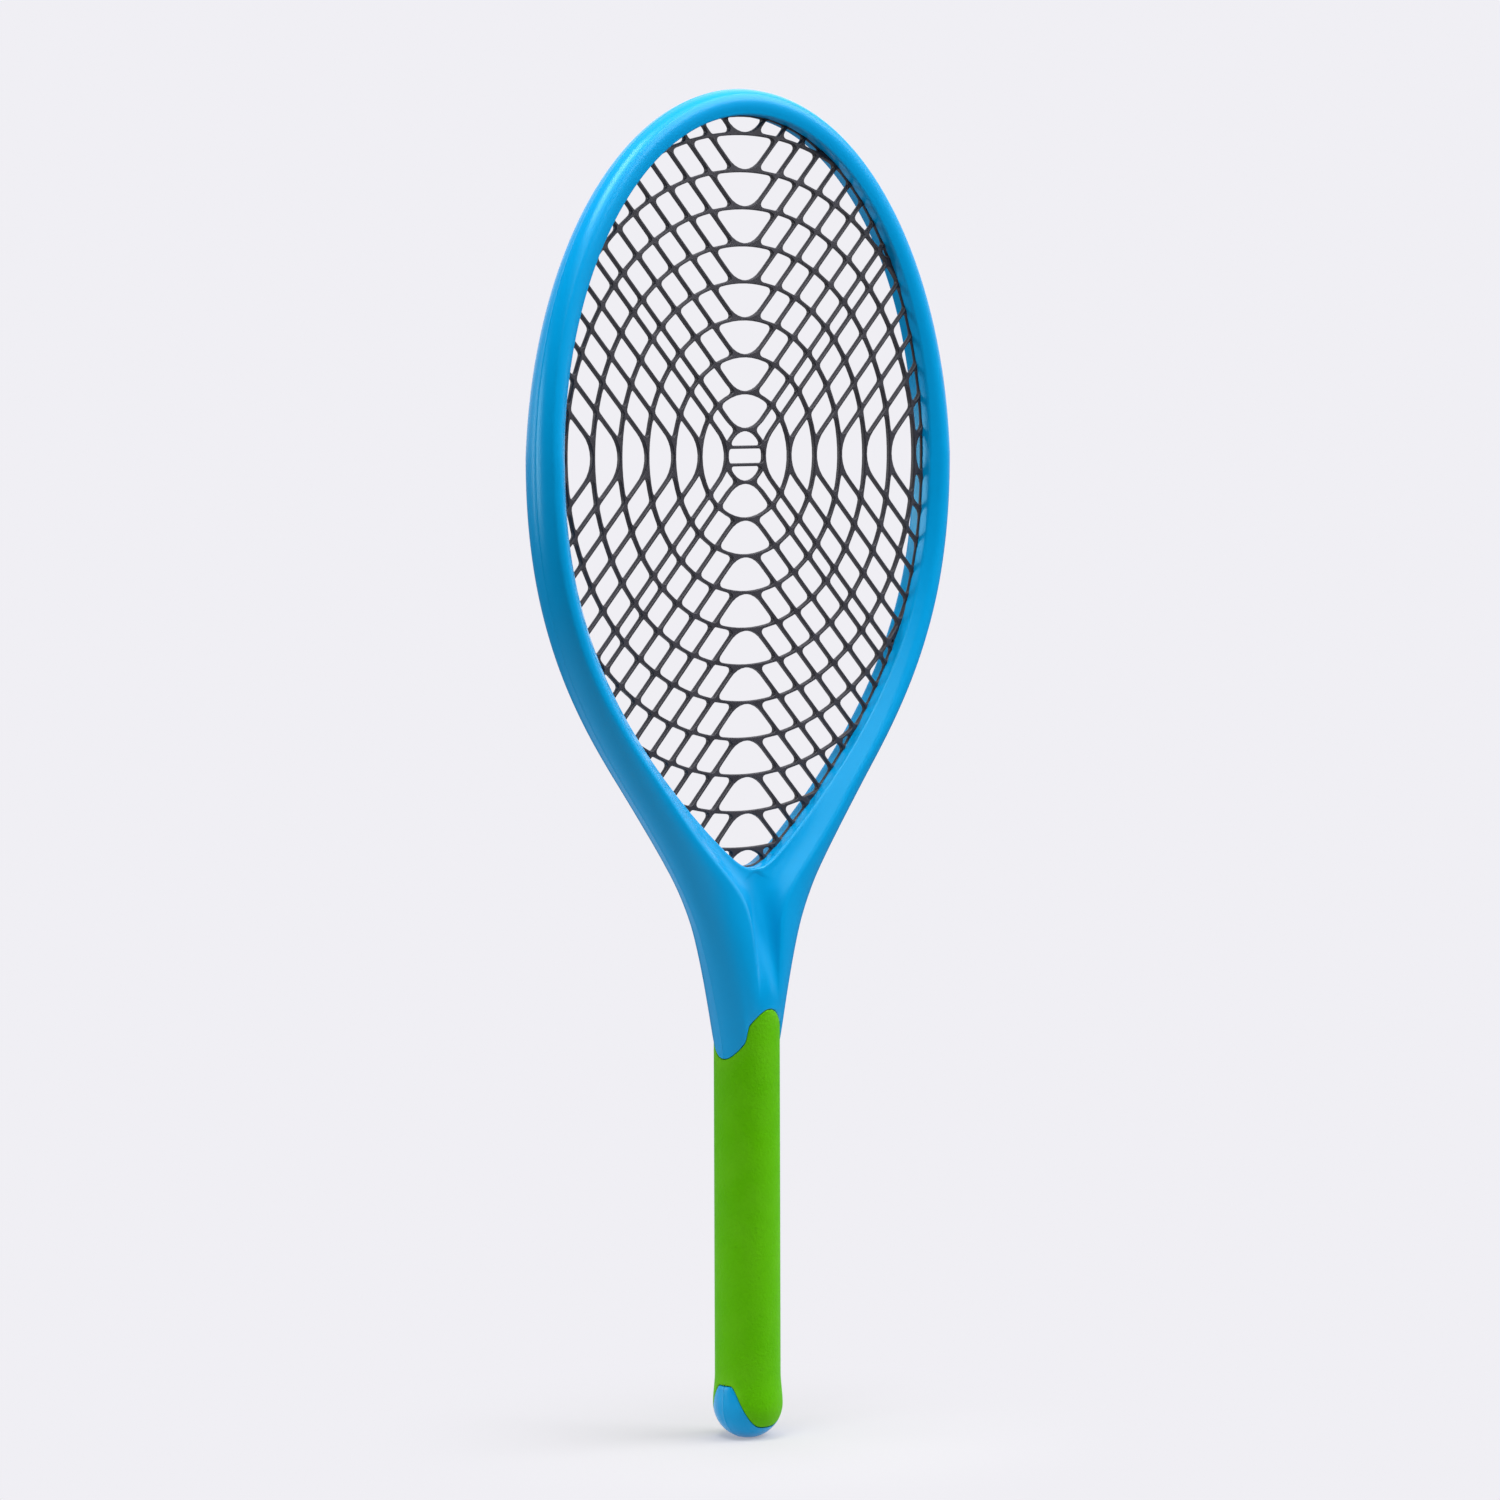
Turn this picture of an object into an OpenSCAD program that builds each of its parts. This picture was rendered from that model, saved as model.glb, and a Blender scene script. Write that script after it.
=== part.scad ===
// Junior tennis racket: a hollow frame made of two half shells, a moulded string bed and a soft grip.
// X is the width, Y the thickness (front is -Y) and Z runs up from the foot of the butt.

/* [Head] */
// Height of the middle of the string pattern
centre_z = 389.5; // [380:0.5:400]
// Half width of the head opening
open_half = 101.7; // [96:0.1:106]
// Reach of the opening above the middle
open_up = 133; // [125:0.5:140]
// Reach of the opening below the middle, where its two sides meet in a rounded point
open_down = 162.2; // [157:0.1:165]
// Reach that the lower sides would have if they met in a sharp point
point_reach = 169.7; // [168:0.1:174]
// Width of the frame at its widest, from the opening to the outer edge
frame_w = 11.1; // [9:0.1:14]
// Width of the frame at the top of the hoop
top_w = 10.3; // [9:0.1:12]

/* [Frame section] */
// Distance from the opening to the raised crest
crest_in = 5.4; // [4:0.1:6.5]
// Half thickness at the crest, from the widest part of the head down
crest_h = 9.6; // [8:0.1:11]
// Half thickness at the crest at the top of the hoop
top_h = 6.2; // [5.6:0.1:9]
// Half thickness at the opening
inner_h = 4.9; // [4:0.1:5.2]
// Wall thickness of the shells
wall = 2.4; // [1.8:0.1:2.8]

/* [Throat] */
// How far down the outer edge leaves the hoop straight
edge_drop = 127.5; // [110:0.5:130]
// Half width of the throat's steering point
throat_half = 22.8; // [20:0.1:26]
// Height of the throat's steering point
throat_z = 257; // [250:1:262]
// Half width of the pocket between the two crests
pocket_half = 7.8; // [6:0.1:9]

/* [Handle] */
// Radius of the grip
grip_r = 13.1; // [12:0.1:15]
// Thickness of the soft sleeve
grip_t = 2; // [1.5:0.1:2.4]
// Height of the sleeve's upper edge at the front and back
grip_top_peak = 171.9; // [162:0.1:174]
// Height of the sleeve's upper edge at the sides
grip_top_side = 152.1; // [144:0.1:154]
// Height of the sleeve's lower edge at the front and back
grip_low_front = 4.9; // [4:0.1:7]
// Height of the sleeve's lower edge at the sides
grip_low_side = 21.6; // [18:0.1:23]
// Largest radius of the butt
butt_r = 13.9; // [13.2:0.1:15]
// Height of the butt's largest radius
butt_z = 13.5; // [12:0.1:15]
// Radius of the flat foot
foot_r = 3.6; // [3:0.1:5]

/* [String bed] */
// Distance between neighbouring rings and lines
pitch = 14.45; // [13.5:0.05:15]
// Radius of the smallest ring, to the middle of its string
first_r = 10.35; // [10:0.05:11]
// Width of a string
string_w = 1.4; // [1.2:0.1:2.4]
// Thickness of the string bed
bed_t = 2.3; // [1.8:0.1:3]
// Radius of the rounded tip of each chevron
tip_r = 13.4; // [11:0.1:15]
// Width of the rim that shows inside the opening
rim_in = 0.6; // [0.5:0.1:1.5]

/* [Hidden] */
$fn = 96;

gap = 0.1;                       // clearance round the sleeve
groove_h = bed_t / 2 + 0.05;     // half height of the groove that holds the rim
rim_out = wall + 0.9;            // how far the rim reaches into the frame
side_power = 2.34;               // shape of the lower sides, along the height
point_power = 0.924;             // shape of the lower sides, across the width
crest_spread = 4.6;              // how far the crest moves away from the rounded point
pocket_flare = 3.6;              // how much wider the pocket starts than it goes on
edge_split = 0.723;              // share of the outer edge that lies beside the opening

hoop_rows = 14;
side_rows = 22;
throat_rows = 12;
grip_rows = 10;
butt_rows = 7;
slope_cols = 3;                  // columns from the opening, or the middle, to the crest
edge_cols = 8;                   // columns from the crest to the outer edge
outer_cols = slope_cols + edge_cols + 1;
inner_cols = 8;                  // columns of the hollow's surface
cols = outer_cols + inner_cols;
tip_row = hoop_rows + side_rows;            // where the two sides of the opening meet
grip_row = tip_row + throat_rows;           // the sleeve's upper edge
recess_end = grip_row + 1 + grip_rows;      // the sleeve's lower edge
last_row = recess_end + 1 + butt_rows;

function mix(a, b, f) = a + (b - a) * f;
function clamp(f) = min(max(f, 0), 1);
function smooth(f) = let (c = clamp(f)) c * c * (3 - 2 * c);
function unit(v) = v / norm(v);

// Half width of the opening at a height below the middle: a superellipse with its point rounded off
function sharp_half(z) =
    open_half * pow(1 - pow(clamp((centre_z - z) / point_reach), side_power), 1 / point_power);
point_cut = sharp_half(centre_z - open_down);
function open_x(z) = pow(max(pow(sharp_half(z), 2.5) - pow(point_cut, 2.5), 0), 0.4);

// The outer edge from the middle of the head down to the grip, a cubic curve
function edge_point(u) =
    pow(1 - u, 3) * [open_half + frame_w, centre_z]
    + 3 * u * pow(1 - u, 2) * [open_half + frame_w, centre_z - edge_drop]
    + 3 * u * u * (1 - u) * [throat_half, throat_z]
    + pow(u, 3) * [grip_r, grip_top_side];

function side_u(row) = edge_split * (1 - pow(1 - (row - hoop_rows) / side_rows, 1.4));
function throat_f(row) = (row - tip_row) / throat_rows;
tip_z = centre_z - open_down;
tip_shift = tip_z - edge_point(edge_split)[1];

// Edge of the opening on a row, as [x, z]; below the point it is the middle line
function open_z(row) =
    let (z = edge_point(side_u(row))[1]) z + tip_shift * smooth((centre_z - z) / 100);
function open_at(row) =
    row <= hoop_rows ? let (a = 90 * row / hoop_rows) [open_half * sin(a), centre_z + open_up * cos(a)]
    : row < tip_row ? [open_x(open_z(row)), open_z(row)]
    : [0, mix(tip_z, grip_top_peak, throat_f(row))];

// Outward normal of the opening's edge on a row
function slope_at(z) = (open_x(z + 0.4) - open_x(z - 0.4)) / 0.8;
function normal_at(row) =
    row <= hoop_rows ? let (a = 90 * row / hoop_rows) unit([sin(a) * open_up, cos(a) * open_half])
    : row < tip_row ? unit([1, -slope_at(open_z(row))])
    : [0, -1];

// The raised crest on a row
function crest_off(row) =
    crest_in + (row <= hoop_rows ? 0 : crest_spread * smooth((270 - open_at(row)[1]) / 40));
function crest_at(row) =
    let (p = open_at(min(row, tip_row)) + crest_off(min(row, tip_row)) * normal_at(min(row, tip_row)))
    row <= hoop_rows ? p
    : row <= tip_row ? [pow(pow(max(p[0], 0), 3) + pow(pocket_half + pocket_flare, 3), 1 / 3), p[1]]
    : [pocket_half + pocket_flare * (1 - smooth(throat_f(row) / 0.3)),
        mix(p[1], grip_top_peak - 3, throat_f(row))];

// The outer edge on a row
function edge_at(row) =
    row <= hoop_rows ? let (w = mix(top_w, frame_w, pow(1 - cos(90 * row / hoop_rows), 2)))
        open_at(row) + w * normal_at(row)
    : edge_point(row <= tip_row ? side_u(row) : mix(edge_split, 1, throat_f(row)));

// Half thickness at the crest and at the opening or middle line
function crest_height(row) =
    row <= hoop_rows ? mix(top_h, crest_h, pow(1 - cos(90 * row / hoop_rows), 2))
    : mix(crest_h, grip_r, smooth((265 - edge_at(row)[1]) / 100));
function low_height(row) = row <= tip_row ? inner_h
    : mix(inner_h, crest_height(row), smooth((throat_f(row)) / 0.65));
function roundness(row) = row <= tip_row ? 0 : smooth((throat_f(row) - 0.25) / 0.75);

// Sleeve edges at an angle from the front or back
function fold(a) = abs((a + 90) % 180 - 90);
function grip_top(a) =
    let (k = 0.375 * (1 + cos(2 * fold(a))) + 0.25 * smooth((48.5 - fold(a)) / 8.5))
    mix(grip_top_side, grip_top_peak, k);
function grip_low(a) = mix(grip_low_front, grip_low_side, smooth(pow(fold(a) / 77, 2)));

// Radius of the handle and butt at a height
butt_drop = butt_z / sqrt(1 - pow(foot_r / butt_r, 2));
function handle_r(z) = z >= butt_z ? mix(butt_r, grip_r, smooth((z - butt_z) / 12))
    : butt_r * sqrt(1 - pow((butt_z - z) / butt_drop, 2));
function grip_v(i) = 1 - pow(1 - i / grip_rows, 1.7);

// Height of a handle row at an angle, and its outer radius there
function handle_z(row, a) =
    row <= grip_row ? grip_top(a)
    : row <= recess_end ? mix(grip_top(a), grip_low(a), grip_v(row - grip_row - 1))
    : grip_low(a) * (1 - sin(90 * (row - recess_end - 1) / butt_rows));
function in_recess(row) = row > grip_row && row <= recess_end;
function outer_r(row, a) = handle_r(handle_z(row, a)) - (in_recess(row) ? grip_t + gap : 0);

// A point of the outer surface: slope from the opening to the crest, then a quarter ellipse
function head_point(row, j) =
    let (i = open_at(row), c = crest_at(row), e = edge_at(row), hc = crest_height(row))
    j <= slope_cols
    ? let (f = j / slope_cols, p = mix(i, c, f)) [p[0], mix(low_height(row), hc, f), p[1]]
    : let (a = 90 * (j - slope_cols) / edge_cols, p = mix(c, e, sin(a))) [p[0], hc * cos(a), p[1]];
function round_point(r, a, z) = [r * sin(a), r * cos(a), z];
function outer_point(row, j) =
    let (a = 90 * j / (outer_cols - 1), f = roundness(row))
    row <= grip_row ? mix(head_point(row, j), round_point(grip_r, a, grip_top(a)), f)
    : round_point(outer_r(row, a), a, handle_z(row, a));

// A point of the hollow's surface, counted from the outer edge back to the opening or middle line
function hollow_head(row, j) =
    let (i = open_at(row) + wall * normal_at(row), c = crest_at(row),
        e = edge_at(row) + wall * unit(c - edge_at(row)), hc = crest_height(row) - wall - 0.2,
        lh = min(low_height(row) - 1.1, hc), last = inner_cols - 1)
    j <= last - 2
    ? let (a = 90 - 90 * j / (last - 2), p = mix(c, e, sin(a))) [p[0], hc * cos(a), p[1]]
    : let (f = (j - last + 2) / 2, p = mix(c, i, f)) [p[0], mix(hc, lh, f), p[1]];
function floor_z(z) = z + 2.6 * clamp(1 - z / 25);
function step_shift(row) =
    row == grip_row || row == recess_end ? 0.5 : row == grip_row + 1 || row == recess_end + 1 ? -0.5 : 0;
function hollow_point(row, j) =
    let (a = 90 - 90 * j / (inner_cols - 1), f = roundness(row), z = handle_z(row, a),
        q = round_point(0.66 * handle_r(z), a, floor_z(z) + step_shift(row)))
    row <= grip_row ? mix(hollow_head(row, j), q, f) : q;

// The two points of the groove's land, which exist down to the opening's point
function groove_points(row) =
    let (i = open_at(row), w = i + wall * normal_at(row)) [[w[0], groove_h, w[1]], [i[0], groove_h, i[1]]];

function row_points(row) = concat(
    [for (j = [0 : outer_cols - 1]) outer_point(row, j)],
    [for (j = [0 : inner_cols - 1]) hollow_point(row, j)],
    groove_points(min(row, tip_row)));
row_size = cols + 2;
side_size = row_size * (last_row + 1);

// Left and right share the top row, the middle line below the point, and the groove's end
function shared(row, j) = row == 0 || (row == tip_row && j >= cols)
    || (row >= tip_row && (j == 0 || j == cols - 1));
function index(side, row, j) = row * row_size + j + (side == 1 && !shared(row, j) ? side_size : 0);
function patch(side, row, j, k) =
    let (a = index(side, row, j), b = index(side, row, k), c = index(side, row + 1, k),
        d = index(side, row + 1, j))
    side == 0 ? [[a, b, c], [a, c, d]] : [[a, c, b], [a, d, c]];
function strips(row) = row < tip_row ? row_size : cols - 1;

module half_shell() {
    points = [for (side = [1, -1], row = [0 : last_row]) for (p = row_points(row)) [side * p[0], -p[1], p[2]]];
    skin = [for (side = [0, 1], row = [0 : last_row - 1], j = [0 : strips(row) - 1])
        each patch(side, row, j, (j + 1) % row_size)];
    foot = concat([for (j = [outer_cols - 1 : -1 : 0]) index(1, last_row, j)],
        [for (j = [1 : outer_cols - 1]) index(0, last_row, j)]);
    hollow_end = concat([for (j = [outer_cols : cols - 1]) index(0, last_row, j)],
        [for (j = [cols - 2 : -1 : outer_cols]) index(1, last_row, j)]);
    land = [index(0, last_row, outer_cols - 1), index(0, last_row, outer_cols),
        index(1, last_row, outer_cols), index(1, last_row, outer_cols - 1)];
    polyhedron(points, concat(skin, [foot, hollow_end, land]));
}

module front_frame_shell() {
    color("deepskyblue") half_shell();
}

module back_frame_shell() {
    color("dodgerblue") mirror([0, 1, 0]) half_shell();
}

// Outline of the opening, moved outward by a distance
function moved(row, d) = open_at(row) + d * normal_at(row) - [0, centre_z];
function outline(d) = concat(
    [for (row = [0 : tip_row]) moved(row, d)],
    [for (row = [tip_row - 1 : -1 : 1]) let (p = moved(row, d)) [-p[0], p[1]]]);

module ring(r) {
    difference() {
        circle(r = r + string_w / 2);
        circle(r = r - string_w / 2);
    }
}

// A chevron whose rounded tip touches the ring of radius r, with arms at 45 degrees
module chevron(r, reach) {
    translate([0, r + tip_r]) intersection() {
        ring(tip_r);
        polygon([[0, 0], [-2 * tip_r, -2 * tip_r], [2 * tip_r, -2 * tip_r]]);
    }
    for (side = [-1, 1])
        translate([side * tip_r * sin(45), r + tip_r - tip_r * cos(45)]) rotate(-45 * side)
            translate([-string_w / 2, -0.5]) square([string_w, reach]);
}

module string_pattern() {
    for (k = [0 : 10]) ring(first_r + k * pitch);
    for (k = [0 : 8]) chevron(first_r + k * pitch, 150);
    for (k = [0 : 10]) rotate(180) chevron(first_r + k * pitch, 150);
    for (k = [0 : 6], a = [90, 270]) rotate(a) chevron(first_r + k * pitch, 150);
    for (side = [-1, 1])
        translate([0, side * first_r / 3]) square([2 * first_r, string_w], center = true);
}

module string_bed() {
    color("dimgray") rotate([90, 0, 0]) translate([0, centre_z, -bed_t / 2]) linear_extrude(height = bed_t) {
        intersection() {
            polygon(outline(rim_out - 0.5));
            string_pattern();
        }
        difference() {
            polygon(outline(rim_out));
            polygon(outline(-rim_in));
        }
    }
}

module grip_sleeve() {
    turns = 4 * (outer_cols - 1);
    function sleeve_z(v, a) = mix(grip_top(a) - gap, grip_low(a) + gap, v);
    function sleeve_r(v, a, inset) = handle_r(mix(grip_top(a), grip_low(a), v)) - inset;
    rings = concat([for (i = [0 : grip_rows]) [grip_v(i), 0]],
        [for (i = [grip_rows : -1 : 0]) [grip_v(i), grip_t]]);
    points = [for (g = rings, j = [0 : turns - 1]) let (a = 360 * j / turns)
        round_point(sleeve_r(g[0], a, g[1]), a, sleeve_z(g[0], a))];
    count = len(rings);
    faces = [for (i = [0 : count - 1], j = [0 : turns - 1])
        let (m = (i + 1) % count, n = (j + 1) % turns,
            a = i * turns + j, b = i * turns + n, c = m * turns + n, d = m * turns + j)
        each [[a, c, b], [a, d, c]]];
    color("yellowgreen") polyhedron(points, faces);
}

front_frame_shell();
back_frame_shell();
string_bed();
grip_sleeve();
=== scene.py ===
import math
import bmesh
import bpy
import numpy as np
from mathutils import Matrix, Vector
from mathutils.geometry import delaunay_2d_cdt


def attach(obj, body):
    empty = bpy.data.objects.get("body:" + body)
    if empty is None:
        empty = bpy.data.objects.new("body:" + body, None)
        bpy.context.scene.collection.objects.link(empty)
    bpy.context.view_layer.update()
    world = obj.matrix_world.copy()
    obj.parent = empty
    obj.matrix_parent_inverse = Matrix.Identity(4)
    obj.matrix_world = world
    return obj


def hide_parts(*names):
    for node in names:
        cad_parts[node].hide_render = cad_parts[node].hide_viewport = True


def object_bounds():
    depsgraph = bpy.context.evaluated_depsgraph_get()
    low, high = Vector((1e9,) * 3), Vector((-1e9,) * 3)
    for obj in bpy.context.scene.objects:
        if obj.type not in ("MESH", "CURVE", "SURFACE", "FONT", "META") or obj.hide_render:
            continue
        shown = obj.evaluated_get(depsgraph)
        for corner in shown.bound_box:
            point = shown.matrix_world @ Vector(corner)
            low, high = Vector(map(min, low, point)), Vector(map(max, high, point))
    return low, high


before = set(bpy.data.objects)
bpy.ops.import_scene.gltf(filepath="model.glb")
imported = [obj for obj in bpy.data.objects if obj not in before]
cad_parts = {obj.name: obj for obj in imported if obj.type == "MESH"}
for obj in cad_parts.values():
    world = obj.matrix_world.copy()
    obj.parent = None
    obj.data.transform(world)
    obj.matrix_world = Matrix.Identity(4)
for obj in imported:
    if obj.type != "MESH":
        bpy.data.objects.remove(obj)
cadBox = [list(corner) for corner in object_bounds()]
print("frame loaded:", sorted(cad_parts))

# Shapes below are worked out in millimetres; addMesh turns them into metres.
# X is the width, Y the thickness with the front towards -Y, Z runs up from the foot.
tiny = 1e-6             # keeps a division from meeting zero
farOff = 1e3            # distance where there is nothing near


# Straight blend: a where f is 0, b where f is 1
def mix(a, b, f):
    return a + (b - a) * f


# S-shaped step: three times f squared less twice f cubed, held at 0 and 1 outside
def smooth(f):
    c = np.clip(f, 0, 1)
    return c * c * (3 - 2 * c)


# Each vector divided by its own length
def unit(v):
    return v / np.linalg.norm(v, axis=-1, keepdims=True)


# Outline of the racket as seen from the front, and the heights of its frame above the middle plane
racket = {
    "top": cadBox[1][2] * 1000,     # top of the hoop
    "centreZ": 389.5,               # middle of the string pattern
    "openDown": 162.2,              # from there down to the rounded point of the opening
    "pointReach": 169.7,            # and to where the lower sides would meet unrounded
    "dropPower": 2.34,              # powers of the superellipse that the lower sides follow
    "sidePower": 0.924,
    "pointPower": 2.5,              # power that rounds the point off
    "frameW": 11.1,                 # width of the frame at the sides
    "topW": 10.3,                   # and at the top of the hoop
    "crestIn": 5.4,                 # from the edge of the opening to the crest
    "crestSpread": 4.6,             # how much further out the crest runs beside the throat
    "spreadZ": 270, "spreadOver": 40,       # where that starts, and over how much height
    "crestH": 9.6,                  # height of the crest at the sides
    "topH": 6.2,                    # and at the top of the hoop
    "riseZ": 265, "riseOver": 100,  # where it starts to rise to the handle's radius, and over how much
    "innerH": 4.9,                  # height of the wall round the opening
    "pocketHalf": 7.8,              # half width of the trough below the opening, down to the sleeve
    "pocketFlare": 3.6,             # how much wider it starts than it goes on
    "edgeSplit": 0.723,             # share of the outer edge's curve beside the opening
    "edgeDrop": 127.5,              # how far that curve starts out straight down
    "throatHalf": 22.8,             # the point that draws it in at the throat
    "throatZ": 257.0,
    "shiftOver": 100,               # height over which the opening's rows move to end at its point
    "rowCrowd": 1.4,                # power that crowds the rows together towards the point
    "softZ": 320, "softOver": 60, "softLeast": 0.4,     # where the crest's rounding gets less
    "cornerRows": 45, "cornerPasses": 260,      # rows eased where the crest turns, and how often
    "wall": 2.4,                    # wall of the hollow frame
    "grooveH": 0.6,                 # half height of the groove for the string bed
}
racket["openHalf"] = cadBox[1][0] * 1000 - racket["frameW"]
racket["openUp"] = racket["top"] - racket["topW"] - racket["centreZ"]
# The trough from the opening's point down to the sleeve: all but the first four are shares of that way
trough = {
    "hollowOver": 34, "scoopOver": 30,      # heights above the point over which its hollow comes in
    "startBelow": 1.0,              # its first row under the point
    "endBelow": 3,                  # its crests end this far below the sleeve's peak
    "leanBy": 0.12,                 # where its columns have moved all the way towards the floor
    "flareBy": 0.3,                 # where the pocket has its lasting width
    "firstRise": 0.25, "firstBy": 0.4,      # first part of the floor's rise, and where it is done
    "restFrom": 0.36, "restOver": 0.36,     # where the rest of the rise starts, and over how much
    "roundFrom": 0.25,              # where the section starts to turn into a circle
}
handle = {
    "gripR": 13.1, "gripT": 2.0, "gap": 0.22,   # radius over the sleeve, its thickness, the gap round it
    "topPeak": 171.9, "topSide": 152.1,     # upper edge of the sleeve at the front and at the side
    "stepShare": 0.25, "stepAngle": 48.5, "stepOver": 8.5,      # the step in it, by angle in degrees
    "lowFront": 4.9, "lowSide": 21.6,       # lower edge of the sleeve
    "lowAngle": 77,                 # angle where it is at its highest
    "buttR": 13.9, "buttZ": 13.5,   # widest place of the butt, and its height
    "buttEase": 12, "footR": 3.6,   # the step in radius above it, and the flat under it
}


# Half width of the opening below the middle: a superellipse whose point is rounded off
def openHalfAt(z):
    def sharp(h):
        drop = np.clip((racket["centreZ"] - h) / racket["pointReach"], 0, 1)
        return racket["openHalf"] * np.power(1 - np.power(drop, racket["dropPower"]), 1 / racket["sidePower"])
    power = racket["pointPower"]
    cut = sharp(np.array(racket["centreZ"] - racket["openDown"]))
    return np.power(np.maximum(sharp(z) ** power - cut ** power, 0), 1 / power)


# Cubic Bezier curve of the outer edge from the widest part of the head to the sleeve
def edgeCurve(u):
    u = np.asarray(u, float)[:, None]
    wide = racket["openHalf"] + racket["frameW"]
    p0 = np.array([wide, racket["centreZ"]])
    p1 = np.array([wide, racket["centreZ"] - racket["edgeDrop"]])
    p2 = np.array([racket["throatHalf"], racket["throatZ"]])
    p3 = np.array([handle["gripR"], handle["topSide"]])
    return (1 - u) ** 3 * p0 + 3 * u * (1 - u) ** 2 * p1 + 3 * u * u * (1 - u) * p2 + u ** 3 * p3


# Averages every row with its neighbours again and again (1, 2, 1 over 4), as far as the weight says
def easedRows(values, weight, passes):
    even = values.copy()
    for _ in range(passes):
        even[1:-1] = (even[:-2] + 2 * even[1:-1] + even[2:]) / 4
    return mix(values, even, weight)


# Rows of the frame from the hoop's top down to the sleeve. The hoop is an ellipse by angle, the side
# follows the outer edge's curve, and the throat goes evenly down. Each row has the edge of the opening,
# its normal, the crest and the outer edge in plan, the heights there, and how far each change has come.
def headRows(hoop, side, throat):
    r = racket
    a = np.linspace(0, np.pi / 2, hoop + 1)
    openHoop = np.c_[r["openHalf"] * np.sin(a), r["centreZ"] + r["openUp"] * np.cos(a)]
    normHoop = unit(np.c_[np.sin(a) * r["openUp"], np.cos(a) * r["openHalf"]])
    sideways = (1 - np.cos(a)) ** 2
    edgeHoop = openHoop + mix(r["topW"], r["frameW"], sideways)[:, None] * normHoop
    crestHoop = openHoop + r["crestIn"] * normHoop
    highHoop = mix(r["topH"], r["crestH"], sideways)

    q = np.arange(1, side + 1) / side
    edgeSide = edgeCurve(r["edgeSplit"] * (1 - (1 - q) ** r["rowCrowd"]))
    tipZ = r["centreZ"] - r["openDown"]
    shift = tipZ - edgeSide[-1, 1]
    z = edgeSide[:, 1] + shift * smooth((r["centreZ"] - edgeSide[:, 1]) / r["shiftOver"])
    openSide = np.c_[openHalfAt(z), z]
    openSide[-1] = [0, tipZ]
    step = np.minimum(0.4, 0.5 * (z - tipZ) + tiny)
    fall = (openHalfAt(z + step) - openHalfAt(z - step)) / (2 * step)
    normSide = unit(np.c_[np.ones(side), -fall])
    normSide[-1] = [0, -1]
    reach = r["crestIn"] + r["crestSpread"] * smooth((r["spreadZ"] - z) / r["spreadOver"])
    crestSide = openSide + reach[:, None] * normSide
    # never inside the pocket's edge: the cube root of the sum of both widths' cubes
    wide = r["pocketHalf"] + r["pocketFlare"]
    crestSide[:, 0] = np.power(np.maximum(crestSide[:, 0], 0) ** 3 + wide ** 3, 1 / 3)
    highSide = mix(r["crestH"], handle["gripR"], smooth((r["riseZ"] - edgeSide[:, 1]) / r["riseOver"]))

    t = trough
    f = np.arange(1, throat + 1) / throat
    edgeLow = edgeCurve(mix(r["edgeSplit"], 1, f))
    openLow = np.c_[np.zeros(throat), mix(tipZ - t["startBelow"], handle["topPeak"], f)]
    crestLow = np.c_[r["pocketHalf"] + r["pocketFlare"] * (1 - smooth(f / t["flareBy"])),
                     mix(crestSide[-1, 1], handle["topPeak"] - t["endBelow"], f)]
    normLow = np.tile([0.0, -1.0], (throat, 1))
    highLow = mix(r["crestH"], handle["gripR"], smooth((r["riseZ"] - edgeLow[:, 1]) / r["riseOver"]))
    firstRise = t["firstRise"] * smooth(f / t["firstBy"])
    restRise = (1 - t["firstRise"]) * smooth((f - t["restFrom"]) / t["restOver"])

    # ease the corner that the crest turns beside the point of the opening
    crest = np.r_[crestHoop, crestSide, crestLow]
    beside = np.exp(-((np.arange(len(crest)) - hoop - side) / r["cornerRows"]) ** 4)
    crest = easedRows(crest, beside[:, None], r["cornerPasses"])
    high = np.r_[highHoop, highSide, highLow]
    low = np.full(len(high), r["innerH"])
    low[-throat:] = mix(r["innerH"], highLow, firstRise + restRise)
    above = np.zeros(hoop + 1 + side)       # rows with no trough yet
    hollow = smooth((tipZ + t["hollowOver"] - z) / t["hollowOver"])
    scoop = 0.5 * smooth((tipZ + t["scoopOver"] - z) / t["scoopOver"])
    soft = mix(1, r["softLeast"], smooth((r["softZ"] - z) / r["softOver"]))
    return {
        "open": np.r_[openHoop, openSide, openLow], "norm": np.r_[normHoop, normSide, normLow],
        "crest": crest, "edge": np.r_[edgeHoop, edgeSide, edgeLow], "high": high, "low": low,
        "round": np.r_[above, smooth((f - t["roundFrom"]) / (1 - t["roundFrom"]))],
        "pocket": np.r_[np.zeros(hoop + 1), hollow, np.ones(throat)],
        "soft": np.r_[np.ones(hoop + 1), soft, np.full(throat, r["softLeast"])],
        "lean": np.r_[above, smooth(f / t["leanBy"])],
        "scoop": np.r_[np.zeros(hoop + 1), scoop, 0.5 + 0.5 * smooth(f / t["flareBy"])],
        "tip": hoop + side,
    }


# Angle in degrees from the nearer of front and back, 0 to 90
def foldAngle(a):
    return np.abs((a + 90) % 180 - 90)


# Upper edge of the sleeve at an angle from the front: a cosine swell and a step, blended
def sleeveTop(a):
    swell = (1 + np.cos(2 * np.radians(foldAngle(a)))) / 2
    stepped = smooth((handle["stepAngle"] - foldAngle(a)) / handle["stepOver"])
    share = handle["stepShare"]
    return mix(handle["topSide"], handle["topPeak"], (1 - share) * swell + share * stepped)


# Lower edge of the sleeve: it climbs from front to side with the square of the angle
def sleeveLow(a):
    return mix(handle["lowFront"], handle["lowSide"], smooth((foldAngle(a) / handle["lowAngle"]) ** 2))


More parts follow.
